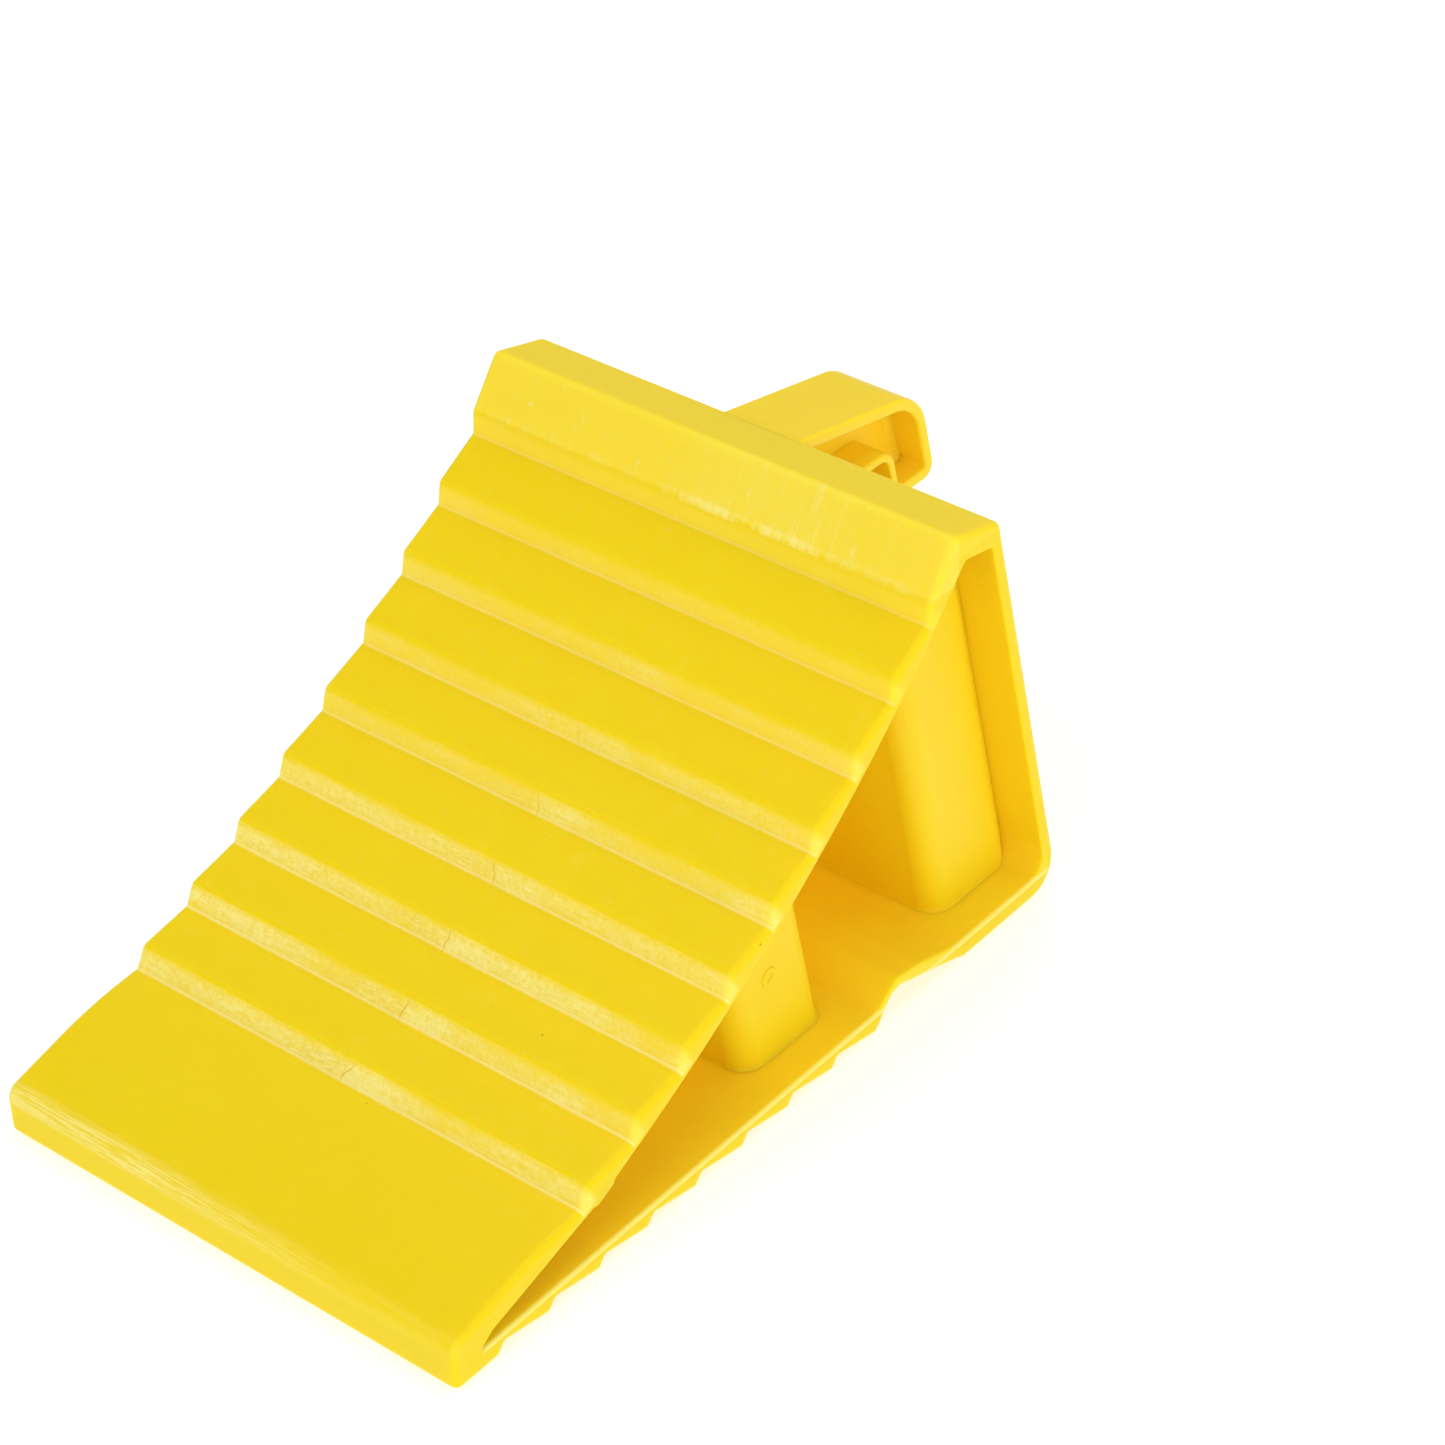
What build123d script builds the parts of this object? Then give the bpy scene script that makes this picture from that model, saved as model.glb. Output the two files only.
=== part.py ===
"""Wheel chock, one plastic moulding, written out as the members it is made of.

Millimetres. +Y runs from the toe to the handle, +X to the right, +Z up. The origin is under the
middle of the bounding box, on the ground. Outlines are drawn as (distance from the toe, height)
and moved to the origin when they are extruded.
"""
import os
from math import cos, hypot, radians, sin

from build123d import *

os.makedirs("parts", exist_ok=True)

# ---- driving sizes --------------------------------------------------------------------------
width = 120.0                # across the tread
length = 215.7               # toe to the back of the handle
body_foot = 194.5            # toe to where the back wall would meet the ground
height = 108.0

tyre_r = 325.0               # circle through the step noses: a 650 mm (26 inch) tyre
tyre_y, tyre_z = -88.0, 321.7
skin_r = 330.8               # underside of the tread, same centre
steps = 9
top_step_angle = 46.3        # degrees round from straight down
step_angle = 2.894
riser = 5.2                  # length of each step's face
riser_tilt = 38.0

lean = 0.2365                # back wall and handle, sideways per unit of height
wall = 3.7                   # back wall, measured level
floor = 5.2                  # top of the sole
tooth_pitch = 14.64
tooth_count = 8
tooth_depth = 2.3
first_tip = 12.3
toe_cell = 8.0               # where the hollow starts behind the toe
arch_start = first_tip + tooth_count * tooth_pitch
heel_start = 160.0

web = 3.0                    # plate at mid width
pillar_face = 51.0           # how far out the pillars' near faces stand
pillar_lean = 0.21
pillar_wall = 3.0

handle_width = 20.0
handle_low = 73.0
strap = 2.7
handle_web_t = 2.4
eye_flange = 2.0

side_round = 1.2             # along the body's outer side edges
strap_round = 0.8


# ---- helpers --------------------------------------------------------------------------------
def outline(corners):
    """Closed face from (y, z, rounding) corners."""
    points = [(y, z) for y, z, r in corners]
    radii = [r for y, z, r in corners]
    return make_face(FilletPolyline(*points, radius=radii, close=True))


def across(face, x0, x1):
    """Extrude a side outline from x0 to x1, in the shared frame."""
    plane = Plane(origin=(x0, -length / 2, 0), x_dir=(0, 1, 0), z_dir=(1, 0, 0))
    return extrude(plane * face, amount=x1 - x0)


def member(body, corners):
    """The stretch of a body inside a cutting outline."""
    cutter = across(make_face(Polyline(*corners, close=True)), -width, width)
    return body & cutter


def wall_y(z):
    """Outer face of the back wall at a height."""
    return body_foot - lean * z


# ---- side outlines --------------------------------------------------------------------------
def nose(i):
    """Outer corner of a step, counted down from the ridge."""
    a = radians(top_step_angle - i * step_angle)
    return tyre_y + tyre_r * sin(a), tyre_z - tyre_r * cos(a)


def root(i):
    """Inner corner below a step's face."""
    a = radians(top_step_angle - i * step_angle + riser_tilt)
    y, z = nose(i)
    return y - riser * cos(a), z - riser * sin(a)


def outer_corners():
    """Toe, steps, ridge, back wall, heel, arch and grip teeth, clockwise from the toe."""
    corners = [(0, 0, 2.0), (0, 10.9, 1.5), (24.0, 17.5, 3.0)]
    for i in reversed(range(steps)):
        corners.append((*root(i), 0.4))
        corners.append((*nose(i), 1.5))
    corners += [(155.1, height, 1.6), (wall_y(104.2), 104.2, 1.6), (body_foot, 0, 8.0)]
    corners += [(heel_start, 0, 0), (157.4, 1.1, 0), (137.6, 6.9, 2.0), (134.8, 6.4, 1.0)]
    corners.append((131.0, 1.6, 0))
    for i in reversed(range(tooth_count)):
        tip = first_tip + i * tooth_pitch
        corners.append((tip + tooth_pitch, 0, 0))
        corners.append((tip + 2.0, tooth_depth, 0.4))
    corners.append((first_tip, 0, 0))
    return corners


def cell_face():
    """The hollow inside the skin: one arc under the tread, straight sides elsewhere."""
    low = (40.0, tyre_z - (skin_r**2 - (40.0 - tyre_y) ** 2) ** 0.5)
    high = (144.0, tyre_z - (skin_r**2 - (144.0 - tyre_y) ** 2) ** 0.5)
    back_low = wall_y(floor) - wall
    back_high = wall_y(99.6) - wall
    sides = Polyline(
        high, (158.0, 101.4), (back_high, 99.6), (back_low, floor), (157.3, floor),
        (143.9, 9.0), (136.5, 10.0), (134.8, 8.8), (arch_start, floor),
        (toe_cell, floor), (toe_cell, 5.7), (11.0, 8.0), low,
    )
    arc = RadiusArc(low, high, -skin_r)
    face = make_face([sides, arc])
    corners = face.vertices()
    face = fillet(corners.sort_by_distance((158.0, 101.4))[0], 3.0)
    face = fillet(face.vertices().sort_by_distance((back_high, 99.6))[0], 1.5)
    return fillet(face.vertices().sort_by_distance((back_low, floor))[0], 4.0)


def pillar_corners(front, back, top, inset):
    """A leaning column's outline; front and back are where its faces meet the ground line."""
    low = floor - 2.0
    return [
        (front + inset - pillar_lean * low, low, 0),
        (front + inset - pillar_lean * top, top, 2.0),
        (back - inset - pillar_lean * top, top, 2.0),
        (back - inset - pillar_lean * low, low, 0),
    ]


def handle_face():
    """Solid outline of the tab handle; its left part lies inside the body."""
    foot_r = 3.5
    reach = length - foot_r + foot_r * hypot(1, lean)
    foot_z = handle_low + foot_r
    shoulder = 95.9
    return outline([
        (162.0, 105.8, 0),
        (reach - lean * (shoulder - foot_z), shoulder, 12.5),
        (reach + lean * foot_r, handle_low, foot_r),
        (168.0, handle_low, 0),
    ])


def eye_face(inset):
    """Hump round the rope hole, standing on the handle's lower strap."""
    top = 86.8 - inset
    return outline([
        (183.4 + inset, 70.0, 0),
        (183.4 + inset - lean * (top - 70.0), top, 5.0 - inset),
        (205.1 - inset - lean * (top - 70.0), top, 5.0 - inset),
        (205.1 - inset, 70.0, 0),
    ])


def outer_side_edges(body, rim, half):
    """Edges on both sides that follow the rim, all but those of the sole's underside."""
    chosen = []
    for edge in body.edges():
        middle = edge @ 0.5
        from_toe = middle.Y + length / 2
        on_side = abs(abs(middle.X) - half) < 0.001
        below = middle.Z < 8.5 and 1.5 < from_toe < 184.0
        on_rim = rim.distance_to(Vertex(from_toe, middle.Z, 0)) < 0.001
        if on_side and on_rim and not below:
            chosen.append(edge)
    return chosen


# ---- body skin ------------------------------------------------------------------------------
outer = outline(outer_corners())
cell = cell_face()
skin = across(outer - cell, -width / 2, width / 2)
skin = fillet(outer_side_edges(skin, outer.face().outer_wire(), width / 2), side_round)

top_y, top_z = nose(0)
cut_a = radians(top_step_angle)
above_cut = (top_y - 4 * sin(cut_a), top_z + 4 * cos(cut_a))
below_cut = (top_y + 9 * sin(cut_a), top_z - 9 * cos(cut_a))
wall_top, wall_low = 97.0, 12.0
split_z = floor + 0.1        # between sole and tread where they meet the toe

nodes = {}
nodes["toe_block"] = member(skin, [(-1, -1), (-1, 20), (toe_cell, 20), (toe_cell, -1)])
nodes["tread_ramp"] = member(
    skin, [(toe_cell, split_z), (toe_cell, 30), above_cut, below_cut, (100, split_z)]
)
nodes["ridge_cap"] = member(
    skin, [above_cut, (145, 115), (180, 115), (180, wall_top), (164, wall_top), below_cut]
)
nodes["back_wall"] = member(
    skin, [(160, wall_low), (160, wall_top), (200, wall_top), (200, wall_low)]
)
nodes["sole_plate"] = member(
    skin, [(toe_cell, -1), (toe_cell, split_z), (arch_start, split_z), (arch_start, -1)]
)
nodes["arch_span"] = member(
    skin, [(arch_start, -1), (arch_start, 12), (heel_start, 12), (heel_start, -1)]
)
nodes["heel_pad"] = member(
    skin, [(heel_start, -1), (heel_start, wall_low), (200, wall_low), (200, -1)]
)

# ---- inside the body ------------------------------------------------------------------------
# Front, back, back of the core and top. The tall pillar runs into the back wall.
pillars = {
    "short_pillar": (99.0, 125.0, 125.0, 90.0),
    "tall_pillar": (163.3, 191.5, 189.6, 86.5),
}
centre = cell
for name, (front, back, core_back, top) in pillars.items():
    shell = outline(pillar_corners(front, back, top, 0)) & cell
    pocket = outline(pillar_corners(front, core_back, top - pillar_wall, pillar_wall)) & cell
    column = across(shell, web / 2, pillar_face)
    near_edges = column.edges().group_by(Axis.X)[-1].filter_by(
        lambda e: abs(e.tangent_at(0.5).Z) > 0.9
    )
    column = fillet(near_edges, 4.0)
    nodes[name] = column - across(pocket, 0, pillar_face - pillar_wall)
    centre = centre - pocket
plates = across(centre, -web / 2, web / 2).solids().sort_by(Axis.Y)
nodes["front_web"] = plates[0]
nodes["rear_web"] = plates[-1]

stub = outline([(40.6, 15.6, 2.5), (40.6, 30.0, 0), (48.1, 30.0, 0), (48.1, 15.6, 2.5)]) & cell
nodes["gate_stub"] = across(stub, width / 2 - 13.0, width / 2 - 1.0)

# ---- handle ---------------------------------------------------------------------------------
handle = handle_face()
inside = offset(handle, -strap)
eye = eye_face(0) & inside
hole = eye_face(eye_flange) & inside
half = handle_width / 2
band = across(handle - inside, -half, half)
band = fillet(outer_side_edges(band, handle.face().outer_wire(), half), strap_round)
nodes["handle_strap"] = band - across(outer, -half, half)
nodes["handle_web"] = across(inside - outer - eye, -handle_web_t / 2, handle_web_t / 2)
nodes["rope_eye"] = across(eye - hole, -half, half)

for name, solid in nodes.items():
    export_step(solid, f"parts/{name}.step")
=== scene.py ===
"""Wheel chock moulded in one piece from translucent yellow plastic, on a pale floor."""

from math import ceil, cos, pi, radians, sin, sqrt, tan

import bmesh
import bpy
from mathutils import Matrix, Vector


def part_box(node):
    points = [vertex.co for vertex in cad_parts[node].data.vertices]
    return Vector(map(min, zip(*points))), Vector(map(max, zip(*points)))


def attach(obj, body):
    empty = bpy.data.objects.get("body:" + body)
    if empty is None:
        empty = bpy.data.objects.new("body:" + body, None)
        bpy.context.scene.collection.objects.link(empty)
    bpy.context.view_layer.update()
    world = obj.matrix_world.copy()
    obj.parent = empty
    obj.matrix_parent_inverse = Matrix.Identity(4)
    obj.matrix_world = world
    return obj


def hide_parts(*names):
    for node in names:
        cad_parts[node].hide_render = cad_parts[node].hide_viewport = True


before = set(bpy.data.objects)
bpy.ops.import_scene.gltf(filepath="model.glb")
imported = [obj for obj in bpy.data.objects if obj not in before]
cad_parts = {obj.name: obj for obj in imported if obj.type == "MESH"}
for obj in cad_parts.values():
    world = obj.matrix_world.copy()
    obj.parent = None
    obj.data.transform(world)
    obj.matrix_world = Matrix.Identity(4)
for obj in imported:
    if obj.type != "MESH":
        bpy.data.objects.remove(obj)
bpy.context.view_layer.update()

# Pieces are drawn in millimetres: x from the middle, y from the toe, z from the ground.
MM = 0.001
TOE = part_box("toe_block")[0].y
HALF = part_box("toe_block")[1].x * 1000
LENGTH = (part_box("handle_strap")[1].y - TOE) * 1000
TOUCH = 0.001

# The back wall leans forward by LEAN for each millimetre of height.
LEAN = 0.2365
HEEL = 194.5
WALL = 3.7
FLOOR = 5.2

# The noses of the steps and the inner face of the tread are round the tyre's centre.
TYRE = Vector((0, -88.0, 321.7))
TYRE_R = 325.0
SKIN_R = 330.8
STEPS = 9
TOP_STEP = 46.3
STEP_ANGLE = 2.894
STEP_SLOPE = 38
STEP_FACE = 5.2

# Saw teeth under the sole, from the toe.
TEETH = 8
FIRST_TIP = 12.3
TOOTH = 14.64


# ---- shapes ---------------------------------------------------------------------------------
def step_nose(i):
    a = radians(TOP_STEP - i * STEP_ANGLE)
    return TYRE.y + TYRE_R * sin(a), TYRE.z - TYRE_R * cos(a)


def step_root(i):
    a = radians(TOP_STEP - i * STEP_ANGLE + STEP_SLOPE)
    y, z = step_nose(i)
    return y - STEP_FACE * cos(a), z - STEP_FACE * sin(a)


def wall_y(z):
    """The back wall's outer face at a height."""
    return HEEL - LEAN * z


def bevel(bm, geom, radius, segments, affect="EDGES"):
    bmesh.ops.bevel(
        bm, geom=geom, affect=affect, offset_type="OFFSET", offset=radius,
        segments=segments, profile=0.5, material=-1,
    )


def round_corner(bm, vert, before, after, radius, fineness):
    """Rounds one corner of a side face, between the corners (y, z) before and after it."""
    here = vert.co.yz
    turn = pi - (Vector(before) - here).angle(Vector(after) - here)
    bevel(bm, [vert], radius * tan(turn / 2), max(2, ceil(turn * fineness)), "VERTICES")


def added_verts(made):
    return [g for g in made["geom"] if isinstance(g, bmesh.types.BMVert)]


def draw_out(bm, x0, x1):
    """Draws a side face out into a solid from x0 to x1."""
    bmesh.ops.translate(bm, verts=bm.verts, vec=(x0, 0, 0))
    made = bmesh.ops.extrude_face_region(bm, geom=bm.faces[:], use_keep_orig=True)
    bmesh.ops.translate(bm, verts=added_verts(made), vec=(x1 - x0, 0, 0))
    bmesh.ops.recalc_face_normals(bm, faces=bm.faces)


def slab(corners, x0, x1):
    """A solid from x0 to x1 whose side view has the corners (y, z, radius)."""
    bm = bmesh.new()
    verts = [bm.verts.new((0, y, z)) for y, z, _ in corners]
    bm.faces.new(verts)
    for i, (_, _, radius) in enumerate(corners):
        if radius:
            before, after = corners[i - 1][:2], corners[(i + 1) % len(corners)][:2]
            round_corner(bm, verts[i], before, after, radius, 3 * sqrt(radius))
    draw_out(bm, x0, x1)
    return bm


def round_rims(bm, radius, segments):
    """Rounds the edges round both flat ends of a slab."""
    ends = min(v.co.x for v in bm.verts), max(v.co.x for v in bm.verts)
    rims = [
        e for e in bm.edges
        if any(all(abs(v.co.x - x) < TOUCH for v in e.verts) for x in ends)
    ]
    bevel(bm, rims, radius, segments)


def rounded_box(size, radius, segments):
    bm = bmesh.new()
    bmesh.ops.create_cube(bm, size=1)
    bmesh.ops.scale(bm, vec=size, verts=bm.verts)
    bevel(bm, bm.edges[:], radius, segments)
    return bm


def crosscut(bm, point, normal, discard=False):
    """Cuts a solid with a plane. With discard, the normal's side goes and the cut is closed."""
    bmesh.ops.bisect_plane(
        bm, geom=bm.verts[:] + bm.edges[:] + bm.faces[:], plane_co=point, plane_no=normal,
        clear_outer=discard,
    )
    if discard:
        rim = [e for e in bm.edges if len(e.link_faces) == 1]
        bmesh.ops.contextual_create(bm, geom=rim)


def new_object(name, bm):
    mesh = bpy.data.meshes.new(name)
    bm.to_mesh(mesh)
    bm.free()
    obj = bpy.data.objects.new(name, mesh)
    bpy.context.scene.collection.objects.link(obj)
    return obj


def piece(name, bm):
    """Moves a shape into the frame and makes it an object."""
    place = Matrix.Translation((0, TOE, 0)) @ Matrix.Scale(MM, 4)
    bmesh.ops.transform(bm, matrix=place, verts=bm.verts)
    bmesh.ops.recalc_face_normals(bm, faces=bm.faces)
    return new_object(name, bm)


def apply_modifiers(obj):
    depsgraph = bpy.context.evaluated_depsgraph_get()
    mesh = bpy.data.meshes.new_from_object(obj.evaluated_get(depsgraph))
    obj.modifiers.clear()
    old = obj.data
    obj.data = mesh
    bpy.data.meshes.remove(old)


def combine(obj, operation, tool):
    """Joins another shape to an object, or takes it out of it, and removes it."""
    mod = obj.modifiers.new("combine", "BOOLEAN")
    mod.operation = operation
    mod.solver = "EXACT"
    mod.object = tool
    apply_modifiers(obj)
    bpy.data.objects.remove(tool)


def round_mouth(obj, half, radius):
    """Rounds the sharp edges where an opening meets both flat sides."""
    bm = bmesh.new()
    bm.from_mesh(obj.data)
    lips = [
        e for e in bm.edges
        if all(abs(abs(v.co.x) - half * MM) < 0.01 * MM for v in e.verts)
        and len(e.link_faces) == 2 and e.calc_face_angle() > 1.2
    ]
    bevel(bm, lips, radius * MM, 3)
    bm.to_mesh(obj.data)
    bm.free()


def soften(obj, angle=35):
    """Smooth shading that stays flat on the flats."""
    obj.data.polygons.foreach_set("use_smooth", [True] * len(obj.data.polygons))
    obj.data.set_sharp_from_angle(angle=radians(angle))
    mod = obj.modifiers.new("normals", "WEIGHTED_NORMAL")
    mod.keep_sharp = True
    mod.weight = 100
    apply_modifiers(obj)


# ---- body -----------------------------------------------------------------------------------
def body_corners():
    """The body from the side, from the toe over the steps and back along the sole."""
    corners = [(0, 0, 2.0), (0, 11.2, 3.2), (24.0, 17.5, 80.0)]
    for i in reversed(range(STEPS)):
        corners += [(*step_root(i), 0.35), (*step_nose(i), 2.0)]
    corners += [(155.1, 108.0, 1.8), (wall_y(104.2), 104.2, 1.6), (HEEL, 0, 8.0)]
    corners += [(160.0, 0, 0), (157.4, 1.1, 0), (137.6, 6.9, 3.0), (134.8, 6.4, 2.0)]
    corners.append((131.0, 1.6, 0))
    for i in reversed(range(TEETH)):
        tip = FIRST_TIP + i * TOOTH
        corners += [(tip + TOOTH, 0, 0), (tip + 2.0, 2.3, 0.6)]
    corners.append((FIRST_TIP, 0, 0))
    return corners


def cell_shape():
    """The hollow inside the body: round the tyre's centre above, straight elsewhere."""
    bm = bmesh.new()
    low, high = (
        Vector((0, y, TYRE.z - sqrt(SKIN_R**2 - (y - TYRE.y) ** 2))) for y in (40.0, 144.0)
    )
    first = bm.verts.new(low)
    sweep = (low - TYRE).angle(high - TYRE)
    bmesh.ops.spin(bm, geom=[first], cent=TYRE, axis=(1, 0, 0), angle=sweep, steps=28)
    bm.verts.ensure_lookup_table()
    arc = bm.verts[:]
    corners = [
        (158.0, 101.4, 1.4), (wall_y(99.6) - WALL, 99.6, 1.2),
        (wall_y(FLOOR) - WALL, FLOOR, 4.5), (157.3, FLOOR, 6.0), (143.9, 9.0, 8.0),
        (136.5, 10.0, 2.5), (134.8, 8.8, 1.5), (129.4, FLOOR, 3.0), (8.0, FLOOR, 0),
        (8.0, 5.9, 1.0), (11.0, 8.0, 0),
    ]
    verts = [bm.verts.new((0, y, z)) for y, z, _ in corners]
    bm.faces.new(arc + verts)
    path = [arc[-1].co.yz, *(corner[:2] for corner in corners), arc[0].co.yz]
    for i, (_, _, radius) in enumerate(corners):
        if radius:
            round_corner(bm, verts[i], path[i], path[i + 2], radius, 5)
    draw_out(bm, -HALF - 1, HALF + 1)
    return piece("cell", bm)


NUB_HEIGHT = 92.0

shape = slab(body_corners(), -HALF, HALF)
round_rims(shape, 1.6, 4)
body = piece("moulded_body", shape)
combine(body, "DIFFERENCE", cell_shape())
round_mouth(body, HALF, 0.6)
nub = rounded_box((1.6, 2.4, 2.8), 0.6, 3)
nub_place = (-HALF + 0.3, wall_y(NUB_HEIGHT) - 2.0, NUB_HEIGHT)
bmesh.ops.translate(nub, verts=nub.verts, vec=nub_place)
combine(body, "UNION", piece("gate_nub", nub))
soften(body)
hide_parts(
    "toe_block", "tread_ramp", "ridge_cap", "back_wall", "sole_plate",
    "arch_span", "heel_pad",
)

# ---- columns between sole and tread ---------------------------------------------------------
COLUMN_FACE = 51.0
COLUMN_WALL = 3
COLUMN_ROUND = 5.4
FOOT_FILLET = 0.7
WALL_FILLET = 1.5
LEANING = Matrix.Identity(4)
LEANING[1][2] = -0.21


def fillet(gap, radius):
    """How far a surface swells where it comes this close to another one."""
    gap = min(max(gap, 0), radius)
    return radius - sqrt(radius**2 - (radius - gap) ** 2)


def column(name, front, back, back_top, top, shoulder, slope=None):
    """A hollow leaning column on the right, its foot flared into the sole."""
    low = FLOOR - 1.0
    bm = slab([
        (front, 0, 0), (front, top, shoulder), (back_top, top, shoulder), (back, 0, 0),
    ], 1.5, COLUMN_FACE)
    crosscut(bm, (0, 0, low), (0, 0, -1), discard=True)
    upright = [
        e for e in bm.edges
        if all(abs(v.co.x - COLUMN_FACE) < TOUCH for v in e.verts)
        and not all(abs(v.co.z - low) < TOUCH for v in e.verts)
    ]
    bevel(bm, upright, COLUMN_ROUND, 9)
    for height in (0.04, 0.13, 0.27, 0.45, FOOT_FILLET):
        crosscut(bm, (0, 0, FLOOR + height), (0, 0, 1))
    middle = (front + back) / 2
    for vert in bm.verts:
        flare = fillet(vert.co.z - FLOOR, FOOT_FILLET)
        if vert.co.x > 2:
            vert.co.x += flare
        vert.co.y += flare if vert.co.y > middle else -flare
    bmesh.ops.transform(bm, matrix=LEANING, verts=bm.verts)
    for vert in bm.verts:
        if vert.co.x > 2:
            vert.co.x += fillet(wall_y(vert.co.z) - WALL - vert.co.y, WALL_FILLET)
    if slope:
        crosscut(bm, *slope, discard=True)
    obj = piece(name, bm)
    front, top = front + COLUMN_WALL, top - COLUMN_WALL
    back, back_top = back - COLUMN_WALL, back_top - COLUMN_WALL
    pocket = slab([
        (front, 0, 0), (front, top, 0), (back_top, top, 0), (back, 0, 0),
    ], 0, COLUMN_FACE - COLUMN_WALL)
    bmesh.ops.transform(pocket, matrix=LEANING, verts=pocket.verts)
    combine(obj, "DIFFERENCE", piece("pocket", pocket))
    return obj


def ejector_ring(inner, spread, height, place):
    """A low ring, its inner radius spread outwards, standing on the short column's face."""
    bm = bmesh.new()
    bmesh.ops.create_circle(
        bm, segments=32, radius=inner, matrix=Matrix.Rotation(pi / 2, 4, "Y")
    )
    made = bmesh.ops.extrude_edge_only(bm, edges=bm.edges[:])
    bmesh.ops.scale(bm, vec=(1, spread, spread), verts=added_verts(made))
    made = bmesh.ops.extrude_face_region(bm, geom=bm.faces[:], use_keep_orig=True)
    bmesh.ops.translate(bm, verts=added_verts(made), vec=(height, 0, 0))
    crest = [
        e for e in bm.edges
        if all(v.co.x > height / 2 for v in e.verts)
        and abs(e.verts[0].co.yz.length - e.verts[1].co.yz.length) < 0.1
    ]
    bevel(bm, crest, height * 0.6, 3)
    bmesh.ops.translate(bm, verts=bm.verts, vec=place)
    return piece("ejector_ring", bm)


tall = column("tall_column", 163.3, 191.1, 188.7, 92.0, 6.0)
soften(tall, 40)
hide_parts("tall_pillar")

under_tread = ((0, 100.0, 50.6), (0, -0.568, 0.823))
short = column("short_column", 99.0, 125.0, 125.0, 90.0, 0, under_tread)
combine(short, "UNION", ejector_ring(1.05, 2.1, 0.4, (50.9, 105.5, 26.4)))
soften(short, 40)
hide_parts("short_pillar")

# ---- handle ---------------------------------------------------------------------------------
TAB_HALF = 10
TAB_TOP = 95.9
TAB_LOW = 73.0
TAB_ROUND = 3.5
PLATE_HALF = 3.4
EYE_TOP = 86.8
EYE_LOW = 70.0


def handle_outline(inset):
    """The tab handle from the side; its left end is buried in the back wall."""
    reach = LENGTH - TAB_ROUND + (TAB_ROUND - inset) * sqrt(1 + LEAN**2)
    rise = TAB_TOP - TAB_LOW - TAB_ROUND - inset * 0.8
    low = TAB_LOW + inset
    return [
        (167.2, 104.75 - inset * 1.02, 0),
        (reach - LEAN * rise, TAB_TOP - inset * 0.9, 12.5 - inset),
        (reach + LEAN * (TAB_ROUND - inset), low, max(TAB_ROUND - inset, 0.9)),
        (175.0, low, 0),
    ]


def eye_outline(inset, foot):
    """The hump round the rope hole, from the side."""
    top = EYE_TOP - inset
    foot_shift, top_shift = (LEAN * (EYE_LOW - z) for z in (foot, top))
    front, back, corner = 183.4 + inset, 205.1 - inset, 5.0 - inset
    return [
        (front + foot_shift, foot, 0), (front + top_shift, top, corner),
        (back + top_shift, top, corner), (back + foot_shift, foot, 0),
    ]


def flange(name, outline, hollow, rim, lip):
    """A band as wide as the tab, hollowed out, with rounded rims and lips."""
    bm = slab(outline, -TAB_HALF, TAB_HALF)
    round_rims(bm, rim, 3)
    obj = piece(name, bm)
    combine(obj, "DIFFERENCE", through_hole(hollow))
    round_mouth(obj, TAB_HALF, lip)
    soften(obj)
    return obj


def through_hole(outline):
    return piece("hole", slab(outline, -TAB_HALF - 1, TAB_HALF + 1))


band = flange("handle_band", handle_outline(0), handle_outline(2.7), 0.8, 0.7)
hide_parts("handle_strap")

eye = flange("rope_eye_flange", eye_outline(0, 74.6), eye_outline(2.0, EYE_LOW), 0.7, 0.5)
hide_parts("rope_eye")

# The plate is dished on both sides, in four rings that get shallower.
plate_corners = handle_outline(2.3)
for i, radius in ((1, 11.0), (2, 3.6)):
    plate_corners[i] = (*plate_corners[i][:2], radius)
shape = slab(plate_corners, -PLATE_HALF, PLATE_HALF)
for side in (-1, 1):
    cap = [f for f in shape.faces if f.normal.x * side > 0.99]
    for width, drop in ((0.5, -0.9), (0.5, -0.6), (0.6, -0.4), (0.8, -0.3)):
        bmesh.ops.inset_region(
            shape, faces=cap, thickness=width, depth=drop, use_boundary=True,
            use_even_offset=True,
        )
plate = piece("handle_plate", shape)
combine(plate, "DIFFERENCE", through_hole(eye_outline(1.0, EYE_LOW)))
soften(plate)
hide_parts("handle_web")

# ---- lump left by the gate, under the tread's edge ------------------------------------------
shape = rounded_box((12.0, 8.4, 7.0), 2.0, 5)
along_tread = Matrix.Rotation(radians(23.5), 3, "X")
bmesh.ops.rotate(shape, verts=shape.verts, matrix=along_tread)
bmesh.ops.translate(shape, verts=shape.verts, vec=(HALF - 6.4, 43.8, 19.3))
lump = piece("gate_lump", shape)
soften(lump, 60)
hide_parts("gate_stub")

new_pieces = {
    body: "moulding_skin", tall: "moulding_core", short: "moulding_core",
    band: "moulding_skin", eye: "moulding_skin", plate: "moulding_core",
    lump: "moulding_core",
}
for obj, slot in new_pieces.items():
    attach(obj, "root")


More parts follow.
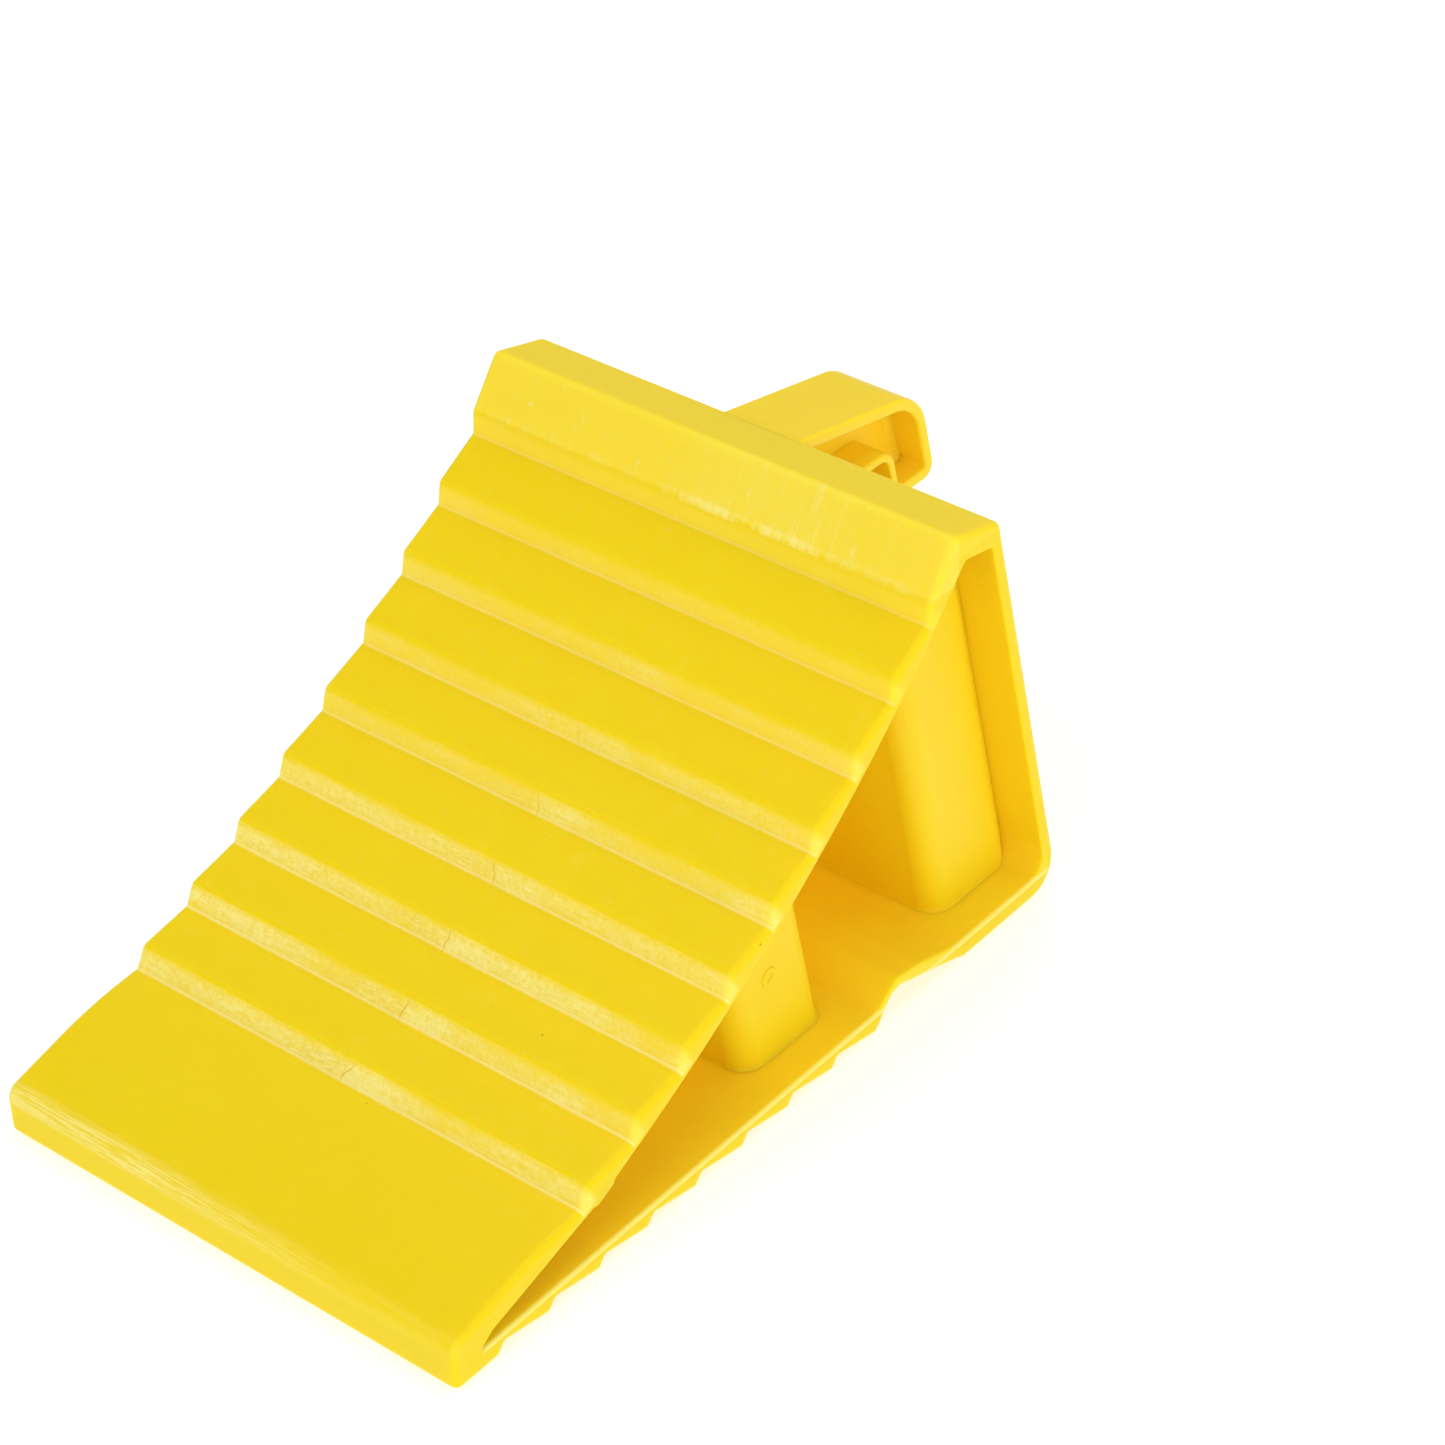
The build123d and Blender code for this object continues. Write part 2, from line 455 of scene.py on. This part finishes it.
# ---- plastic --------------------------------------------------------------------------------
class Value:
    """A number that varies over the surface. Arithmetic on it adds Math nodes."""

    def __init__(self, recipe, socket):
        self.recipe, self.socket = recipe, socket

    def math(self, operation, *others, clamp=False):
        return self.recipe.math(operation, self, *others, clamp=clamp)

    def __add__(self, other):
        return self.math("ADD", other)

    def __sub__(self, other):
        return self.math("SUBTRACT", other)

    def __mul__(self, other):
        return self.math("MULTIPLY", other)

    def __truediv__(self, other):
        return self.math("DIVIDE", other)

    def __rsub__(self, other):
        return self.recipe.math("SUBTRACT", other, self)

    __radd__ = __add__
    __rmul__ = __mul__

    def above(self, edge, soft):
        """0 below edge, 1 above it, with a soft change."""
        return ((self - (edge - soft / 2)) / soft).math("ADD", 0.0, clamp=True)

    def below(self, edge, soft):
        return 1 - self.above(edge, soft)

    def between(self, low, high, soft):
        return self.above(low, soft) * self.below(high, soft)

    def size(self):
        return self.math("ABSOLUTE")

    def at_most(self, limit):
        return self.math("MINIMUM", limit)


class Recipe:
    """A material being built from nodes."""

    def __init__(self, name):
        self.material = bpy.data.materials.new(name)
        self.material.use_nodes = True
        self.tree = self.material.node_tree
        self.shader = self.tree.nodes["Principled BSDF"]

    def feed(self, node, inputs):
        """Sets or links sockets of a node."""
        for key, value in inputs.items():
            if isinstance(value, Value):
                self.tree.links.new(value.socket, node.inputs[key])
            else:
                node.inputs[key].default_value = value

    def node(self, kind, settings, inputs, out=0):
        """Adds a node: its settings first, then the values or links of its sockets."""
        made = self.tree.nodes.new(kind)
        for key, value in settings.items():
            setattr(made, key, value)
        self.feed(made, inputs)
        return Value(self, made.outputs[out])

    def math(self, operation, *values, clamp=False):
        settings = {"operation": operation, "use_clamp": clamp}
        return self.node("ShaderNodeMath", settings, dict(enumerate(values)))

    def noise(self, place, scale, detail=2.0, rough=0.5):
        inputs = {"Vector": place, "Scale": scale, "Detail": detail, "Roughness": rough}
        return self.node("ShaderNodeTexNoise", {}, inputs, "Fac")

    def drawn_noise(self, place, factors, detail, rough=0.5):
        """Noise with its own scale on each axis, so that it runs in streaks."""
        inputs = {"Vector": place, "Scale": factors}
        return self.noise(self.node("ShaderNodeMapping", {}, inputs), 1.0, detail, rough)

    def specks(self, place, scale):
        inputs = {"Vector": place, "Scale": scale}
        return self.node("ShaderNodeTexVoronoi", {}, inputs, "Distance")

    def blend(self, factor, first, second):
        """Goes from the first colour to the second."""
        inputs = {"Factor": factor, "A": first, "B": second}
        return self.node("ShaderNodeMix", {"data_type": "RGBA"}, inputs, "Result")


YELLOW = (0.85, 0.656, 0.003, 1)
DEEP = (0.85, 0.635, 0.002, 1)
# Warm orange painted as shade inside the hollow and on the columns and handle.
SHADE_AMBER = (0.88, 0.64, 0.012, 1)
# Emission painted as a glow, standing in for light that passes through the plastic.
GLOW = (0.09, 0.05, 0, 1)
BLACK = (0, 0, 0, 1)
# Frost on the step faces; also a painted highlight along the sole's edges.
FROST_AND_HIGHLIGHT = (1.0, 0.845, 0.28, 1)
# Painted light: a brighter orange on the crest and on the handle behind the wall.
LIT_ORANGE = (1.0, 0.705, 0.022, 1)
# A pale tone, also painted as light on the hollow's floor.
PALE_TONE_AND_LIGHT = (0.95, 0.745, 0.03, 1)
# Pale scratches; also painted highlights at the step roots and the toe's lip.
SCRATCH_AND_HIGHLIGHT = (1.0, 0.86, 0.34, 1)
CRACK = (0.72, 0.42, 0.01, 1)
SCAR = (0.60, 0.36, 0.01, 1)
DIRT = (0.25, 0.12, 0.01, 1)

# Heights and depths that the masks of several marks share.
BAND_FOOT = 97.6
BAND_BACK = 155.6
INSIDE = 50


def inner_parts(r, y, z, deep, colour):
    """Colour and glow of the columns and the handle: painted shade in warm orange and a painted
    glow inside, painted light paler behind the wall.
    """
    outside = (y + z * LEAN).above(196, 1)
    # Painted shade: warm orange all over the columns and the handle.
    colour = r.blend(0.75, colour, SHADE_AMBER)
    # Painted light: paler where the handle stands out behind the wall.
    colour = r.blend(outside * 0.85, colour, LIT_ORANGE)
    # Painted glow deep inside, less behind the wall.
    return colour, r.blend(deep * (1 - outside * 0.8), BLACK, GLOW)


def worked_faces(r, place, x, y, z, deep, colour, rough, relief):
    """The body's hollow with its painted shade, glow and light, its frosted step faces, painted
    highlights, and the marks of moulding and of use.
    """
    dy = y - TYRE.y
    dz = TYRE.z - z
    radius = (dy * dy + dz * dz).math("SQRT")
    angle = dy.math("ARCTAN2", dz) * (180 / pi)
    step = (TOP_STEP - angle) / STEP_ANGLE
    phase = (step + 0.02).math("FRACT") - 0.02
    skin = radius.below(329.6, 0.4) * step.between(-0.05, 8.4, 0.04)
    face = phase.between(0.045, 0.250, 0.09) * skin
    root = phase.between(0.232, 0.262, 0.014) * skin

    # Painted shade and glow: warm orange inside the hollow, glowing deep inside. Painted light:
    # paler on its floor and on the crest, and a pale painted highlight, partly flash, along the
    # sole's edges.
    hollow = radius.above(330.0, 0.5) * z.above(5.0, 0.3) * y.above(8.0, 0.5)
    hollow = hollow * (y + z * LEAN).below(191.4, 0.5) * z.below(102.5, 1.0)
    # Painted glow deep inside the hollow, standing in for light through the plastic.
    glow = r.blend(hollow * deep, BLACK, GLOW)
    # Painted shade: warm orange inside the hollow.
    colour = r.blend(hollow * 0.75, colour, SHADE_AMBER)
    # Painted light: paler on the hollow's floor.
    colour = r.blend(hollow * z.below(12, 4) * 0.5, colour, PALE_TONE_AND_LIGHT)
    # Painted light: brighter on the crest.
    colour = r.blend(z.above(103.2, 0.8) * y.above(154.8, 1.2) * 0.75, colour, LIT_ORANGE)
    # Painted highlight, partly flash, along the rounded mouth edge of the sole.
    arris_highlight = x.size().above(59.3, 0.3) * z.between(4.4, 5.5, 0.2)
    colour = r.blend(arris_highlight * y.between(8, 190, 1) * 0.6, colour, FROST_AND_HIGHLIGHT)

    # Frosted step faces, stronger on the lower steps, with a split and scars near the middle,
    # and a painted highlight along each step's root.
    fine = r.drawn_noise(place, (1000, 700, 700), 4, 0.7)
    broad = r.drawn_noise(place, (34, 90, 90), 2)
    tear = r.drawn_noise(place, (200, 1500, 1500), 3, 0.7)
    wander = x + (broad - 0.5) * 14
    lower = (step / 7.0).at_most(1.0)
    beside = wander.between(0.0, 12.0, 4.0)
    strength = lower * (0.26 + broad.above(0.50, 0.3) * 0.75 + beside * 0.5) + 0.04
    blotch = 0.35 + fine.above(0.50, 0.14) * 0.45 + tear.above(0.52, 0.12) * 0.40
    frost = (face * strength * blotch).at_most(0.95)
    colour = r.blend(face * 0.6, colour, PALE_TONE_AND_LIGHT)
    colour = r.blend(frost, colour, FROST_AND_HIGHLIGHT)
    # Painted highlight: a thin pale line along each step's root.
    colour = r.blend(root * (0.25 + lower * 0.45), colour, SCRATCH_AND_HIGHLIGHT)
    crack = wander.size().below(0.20, 0.16) * face * lower
    scar = (tear - 0.5).size().below(0.012, 0.012) * face * lower
    scar = scar * wander.between(-16.0, 0.0, 5.0)
    colour = r.blend(crack * 0.5, colour, CRACK)
    colour = r.blend(scar * 0.35, colour, SCAR)
    relief = relief + frost * (fine + tear) * 0.6 - crack * 0.35

    # Hairline scratches and scuffs on the top band, most of them to the right.
    crest = z.above(BAND_FOOT, 0.8)
    band = crest * y.below(BAND_BACK, 0.8)
    streak = r.drawn_noise(place, (900, 70, 70), 4, 0.7)
    patch = r.drawn_noise(place, (30, 60, 60), 2)
    scuff = r.drawn_noise(place, (420, 160, 160), 3, 0.7)
    right = x.between(-2.0, 34.0, 14.0) * 0.8 + x.above(10, 60) * 0.2
    drawn = streak.above(0.57, 0.14) * patch.above(0.50, 0.25) * band * right
    marks = scuff.above(0.66, 0.06) * band
    colour = r.blend(band * 0.6, colour, PALE_TONE_AND_LIGHT)
    colour = r.blend(band * (0.08 + right * 0.08), colour, FROST_AND_HIGHLIGHT)
    colour = r.blend((drawn * 0.40 + marks * 0.3).at_most(0.6), colour, SCRATCH_AND_HIGHLIGHT)
    edge = (z - BAND_FOOT).size().below(0.8, 0.7) * y.between(145.5, 149.5, 1.0)
    colour = r.blend(edge * (0.1 + right * 0.5) * scuff.above(0.5, 0.2), colour, SCRATCH_AND_HIGHLIGHT)

    # Rubbed front edge of the toe, more to the left, over a painted highlight along its rounded
    # lip, and fine lines over the tread.
    lip = y.below(2.6, 2.2) * z.between(8.4, 12.4, 1.6)
    drag = r.drawn_noise(place, (90, 2600, 2600), 3, 0.7)
    leftward = 0.15 + (0 - x).above(-5, 50) * 0.85
    # Rub marks over a painted highlight along the rounded lip.
    rub_and_highlight = lip * (0.2 + drag.above(0.50, 0.12) * 0.8) * leftward
    colour = r.blend(rub_and_highlight * 0.6, colour, SCRATCH_AND_HIGHLIGHT)
    lines = (tear - 0.5).size().below(0.010, 0.010) * scuff.above(0.60, 0.08)
    colour = r.blend(lines * skin * 0.25, colour, SCRATCH_AND_HIGHLIGHT)

    relief = relief + drawn * 0.6 + marks * 0.5 + rub_and_highlight * 0.5
    rough = rough + frost * 0.10 + crest * 0.05
    return colour, glow, rough, relief


def polyethylene(name, frosted, clear):
    """Satin translucent yellow plastic. With frosted, it carries the body's worked faces too."""
    r = Recipe(name)
    place = r.node("ShaderNodeTexCoord", {}, {}, "Object")
    x, y, z = (
        r.node("ShaderNodeSeparateXYZ", {}, {"Vector": place}, axis) * 1000 for axis in "XYZ"
    )
    y = y - TOE * 1000

    cloud = r.noise(place, 18)
    mottle = r.noise(place, 140, 3, 0.6)
    grain = r.noise(place, 1900)
    colour = r.blend(cloud.between(0.35, 1.2, 0.4) * 0.5, YELLOW, DEEP)
    colour = r.blend(mottle.above(0.62, 0.25) * 0.10, colour, PALE_TONE_AND_LIGHT)
    rough = 0.36 + mottle * 0.10
    relief = cloud * 0.5 + mottle * 0.12 + grain * 0.02
    # How far inside the hollow, for the painted glow.
    deep = x.size().below(INSIDE, 16)
    if frosted:
        colour, glow, rough, relief = worked_faces(
            r, place, x, y, z, deep, colour, rough, relief
        )
    else:
        colour, glow = inner_parts(r, y, z, deep, colour)
    dirt = r.specks(place, 70).below(0.017, 0.010)
    colour = r.blend(dirt * 0.6, colour, DIRT)

    bump = {"Strength": 0.35, "Distance": 0.0004, "Height": relief}
    r.feed(r.shader, {
        "Base Color": colour,
        "Roughness": rough,
        "Normal": r.node("ShaderNodeBump", {}, bump, "Normal"),
        "Emission Color": glow,
        "Emission Strength": 1.0,
        "Specular IOR Level": 0.17,
        "Subsurface Weight": clear,
        "Subsurface Radius": (1.0, 0.9, 0.5),
        "Subsurface Scale": 0.003,
    })
    return r.material


worked = polyethylene("yellow_polyethylene_frosted", True, 0.8)
plain = polyethylene("yellow_polyethylene", False, 0.35)
solid = polyethylene("yellow_polyethylene_lump", False, 0.0)
finishes = {body: worked, lump: solid}
for obj in (*new_pieces, *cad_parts.values()):
    obj.data.materials.clear()
    obj.data.materials.append(finishes.get(obj, plain))

# ---- floor, light and camera ----------------------------------------------------------------
grid = bmesh.new()
bmesh.ops.create_grid(grid, x_segments=1, y_segments=1, size=12.0)
floor = new_object("floor", grid)
paper = Recipe("white_paper")
paper.feed(paper.shader, {
    "Base Color": (0.6, 0.6, 0.6, 1),
    "Roughness": 0.9,
    "Emission Color": (1, 1, 1, 1),
    "Emission Strength": 0.55,
})
floor.data.materials.append(paper.material)

world = bpy.data.worlds.new("studio")
bpy.context.scene.world = world
world.use_nodes = True
air = world.node_tree.nodes["Background"]
air.inputs["Color"].default_value = (1, 1, 1, 1)
air.inputs["Strength"].default_value = 0.50


def softbox(name, place, size, power):
    """A rectangular lamp that faces the chock."""
    lamp = bpy.data.lights.new(name, "AREA")
    lamp.shape = "RECTANGLE"
    lamp.size, lamp.size_y = size
    lamp.energy = power
    obj = bpy.data.objects.new(name, lamp)
    obj.location = place
    aim = Vector((0, 0, 0.04)) - Vector(place)
    obj.rotation_euler = aim.to_track_quat("-Z", "Y").to_euler()
    bpy.context.scene.collection.objects.link(obj)


softbox("front_softbox", (0.1, -1.1, 1.0), (0.9, 0.7), 6)
softbox("right_softbox", (1.3, -0.25, 0.55), (0.9, 0.7), 5.5)
softbox("top_softbox", (-0.1, 0.55, 1.5), (1.4, 1.2), 6.5)

SWING = radians(39.63)
LOOK_DOWN = radians(35.99)
ROLL = radians(-1.48)
LOOK_AT = Vector((0.0382, 0.0007, 0.0816))
DISTANCE = 0.77485

lens = bpy.data.cameras.new("camera")
lens.sensor_width = 36
lens.lens = 100.0
lens.clip_start = 0.05
camera = bpy.data.objects.new("camera", lens)
turn = Matrix.Rotation(SWING, 3, "Z") @ Matrix.Rotation(pi / 2 - LOOK_DOWN, 3, "X")
turn = turn @ Matrix.Rotation(ROLL, 3, "Z")
camera.rotation_euler = turn.to_euler()
camera.location = LOOK_AT + turn @ Vector((0, 0, DISTANCE))
bpy.context.scene.collection.objects.link(camera)
bpy.context.scene.camera = camera
bpy.context.scene.view_settings.view_transform = "Standard"
